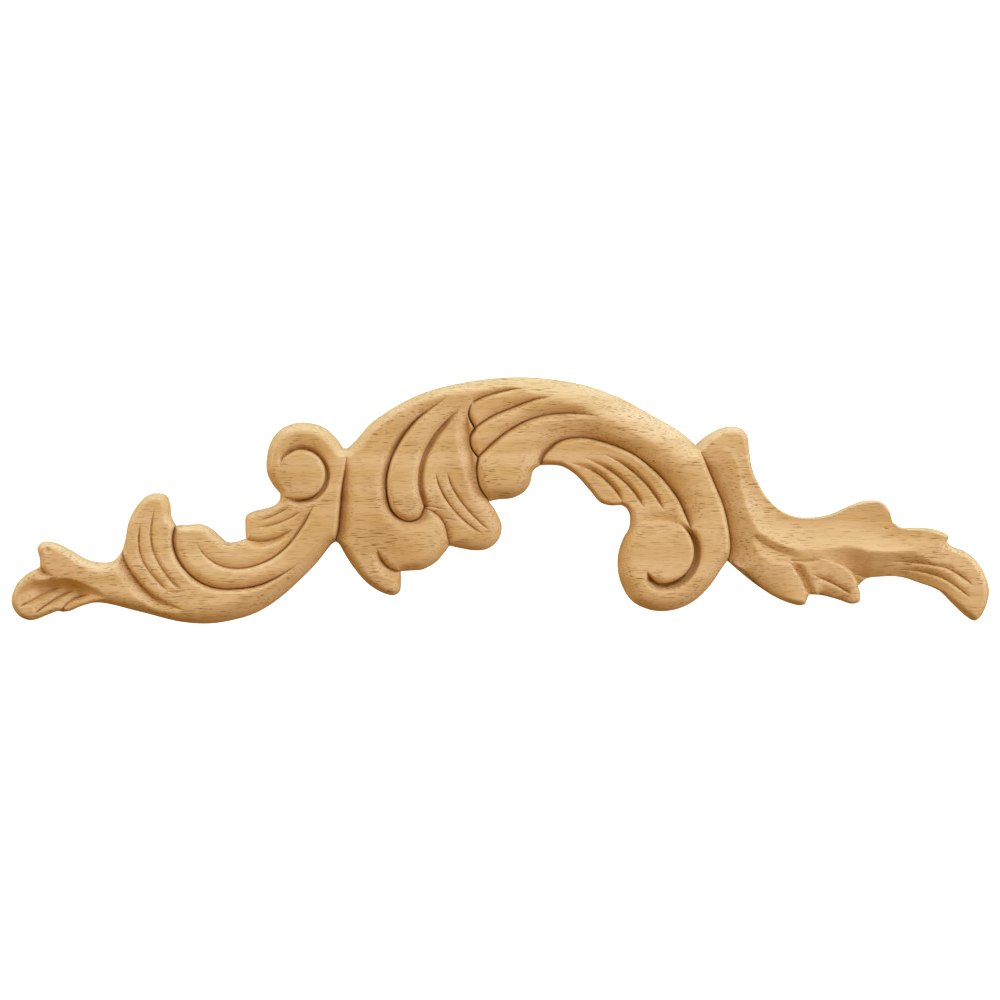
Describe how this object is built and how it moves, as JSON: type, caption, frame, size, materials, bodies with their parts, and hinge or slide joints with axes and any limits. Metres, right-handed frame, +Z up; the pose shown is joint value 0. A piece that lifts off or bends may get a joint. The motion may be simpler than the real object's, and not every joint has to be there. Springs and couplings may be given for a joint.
{
  "type": "carved wood applique",
  "caption": "Long carved acanthus applique: an arched crown with scrolled volutes, lobed leaves and a leafy branch at each side, flat at the back for gluing to a surface.",
  "frame": {"origin": "on the flat back face, behind the arch's crown", "axes": "+X along the length towards the branch with the pointed leaflets, +Y into the wall, +Z up towards the arch's crown"},
  "size_m": [0.3999, 0.019, 0.1008],
  "materials": {
    "carved_wood": "sanded, bare"
  },
  "bodies": {
    "root": {"acanthus_applique": "carved_wood"}
  },
  "joints": []
}
